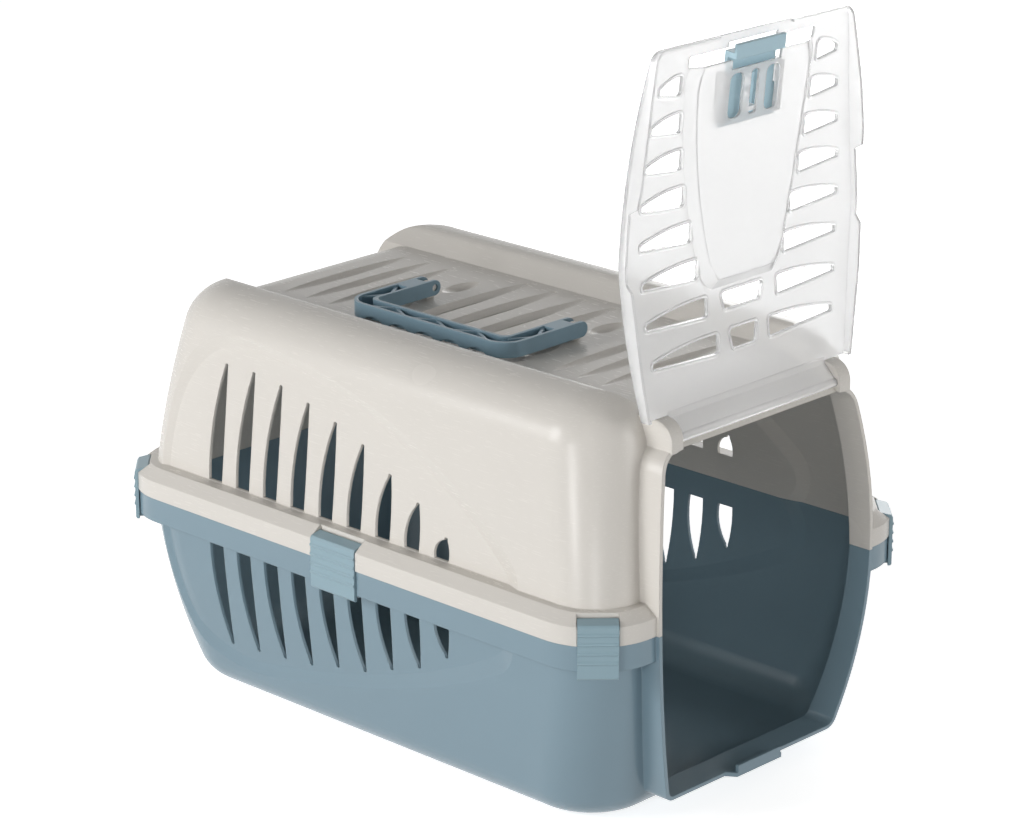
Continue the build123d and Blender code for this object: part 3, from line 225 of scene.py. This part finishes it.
def build_materials():
    lid = moulded_plastic("lid_moulded", LID_COLOUR, LID_ROUGHNESS, glow=SHELL_GLOW, gloss=LID_GLOSS)
    tub = moulded_plastic("tub_moulded", TUB_COLOUR, TUB_ROUGHNESS, glow=SHELL_GLOW)
    door = moulded_plastic(
        "door_moulded", DOOR_COLOUR, DOOR_ROUGHNESS, DOOR_GRAIN_STRENGTH, DOOR_GLOW, DOOR_COAT, DOOR_CLEAR
    )
    latch = moulded_plastic("latch_moulded", LATCH_COLOUR, LATCH_ROUGHNESS, FINE_GRAIN_STRENGTH)
    spring = moulded_plastic("spring_moulded", SPRING_COLOUR, LATCH_ROUGHNESS, FINE_GRAIN_STRENGTH)
    paint("lid", lid)
    paint("tub", tub)
    paint("door", door)
    paint("latch_slider", latch)
    paint("latch_spring", spring)
    paint("handle", moulded_plastic("handle_moulded", HANDLE_COLOUR, HANDLE_ROUGHNESS))
    clip_plastic = moulded_plastic("clip_moulded", CLIP_COLOUR, CLIP_ROUGHNESS)
    for node_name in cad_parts:
        if node_name.startswith("clip_"):
            paint(node_name, clip_plastic)


def build_floor():
    """Pale floor that renders white to the camera and keeps the carrier's shadow."""
    mesh = bpy.data.meshes.new("studio_floor")
    half = FLOOR_HALF
    corners = [(-half, -half, 0.0), (half, -half, 0.0), (half, half, 0.0), (-half, half, 0.0)]
    mesh.from_pydata(corners, [], [(0, 1, 2, 3)])
    floor = bpy.data.objects.new("studio_floor", mesh)
    bpy.context.scene.collection.objects.link(floor)
    floor.location.z = -FLOOR_GAP
    material = bpy.data.materials.new("studio_floor")
    material.use_nodes = True
    tree = material.node_tree
    tree.nodes.clear()
    output = tree.nodes.new("ShaderNodeOutputMaterial")
    lit = tree.nodes.new("ShaderNodeBsdfDiffuse")
    lit.inputs["Color"].default_value = (*FLOOR_COLOUR, 1.0)
    glow = tree.nodes.new("ShaderNodeEmission")
    path = tree.nodes.new("ShaderNodeLightPath")
    seen = math_node(tree, "MAXIMUM", path.outputs["Is Camera Ray"], path.outputs["Is Glossy Ray"])
    seen = math_node(tree, "MAXIMUM", seen, path.outputs["Is Transmission Ray"])
    tree.links.new(math_node(tree, "MULTIPLY", seen, FLOOR_GLOW), glow.inputs["Strength"])
    total = tree.nodes.new("ShaderNodeAddShader")
    tree.links.new(lit.outputs[0], total.inputs[0])
    tree.links.new(glow.outputs[0], total.inputs[1])
    tree.links.new(total.outputs[0], output.inputs["Surface"])
    mesh.materials.append(material)


def build_world():
    world = bpy.data.worlds.new("studio")
    bpy.context.scene.world = world
    world.use_nodes = True
    tree = world.node_tree
    background = tree.nodes["Background"]
    background.inputs["Color"].default_value = (1.0, 1.0, 1.0, 1.0)
    path = tree.nodes.new("ShaderNodeLightPath")
    seen = math_node(tree, "MAXIMUM", path.outputs["Is Camera Ray"], path.outputs["Is Glossy Ray"])
    seen = math_node(tree, "MAXIMUM", seen, path.outputs["Is Transmission Ray"])
    place = tree.nodes.new("ShaderNodeTexCoord").outputs["Generated"]
    height = tree.nodes.new("ShaderNodeSeparateXYZ")
    tree.links.new(place, height.inputs[0])
    ambient = remap(tree, height.outputs["Z"], 0.0, 1.0, HORIZON_STRENGTH, ZENITH_STRENGTH)
    tree.links.new(math_node(tree, "MAXIMUM", seen, ambient), background.inputs["Strength"])


def build_lights():
    for name, place, size, power in LIGHTS:
        data = bpy.data.lights.new(name, "AREA")
        data.shape = "DISK"
        data.size = size
        data.energy = power
        lamp = bpy.data.objects.new(name, data)
        bpy.context.scene.collection.objects.link(lamp)
        lamp.location = place
        aim = Vector(LIGHT_AIM) - Vector(place)
        lamp.rotation_euler = aim.to_track_quat("-Z", "Y").to_euler()


def build_camera():
    azimuth = math.radians(CAMERA_AZIMUTH)
    elevation = math.radians(CAMERA_ELEVATION)
    back = Vector(
        (
            math.sin(azimuth) * math.cos(elevation),
            -math.cos(azimuth) * math.cos(elevation),
            math.sin(elevation),
        )
    )
    data = bpy.data.cameras.new("photo_camera")
    data.sensor_width = SENSOR_WIDTH
    data.lens = FOCAL_PIXELS * SENSOR_WIDTH / IMAGE_WIDTH
    data.clip_end = CAMERA_REACH
    camera = bpy.data.objects.new("photo_camera", data)
    bpy.context.scene.collection.objects.link(camera)
    camera.location = Vector(CAMERA_TARGET) + back * CAMERA_DISTANCE
    camera.rotation_euler = (-back).to_track_quat("-Z", "Y").to_euler()
    bpy.context.scene.camera = camera


bpy.context.scene.view_settings.view_transform = "Standard"
build_materials()
build_floor()
build_world()
build_lights()
build_camera()
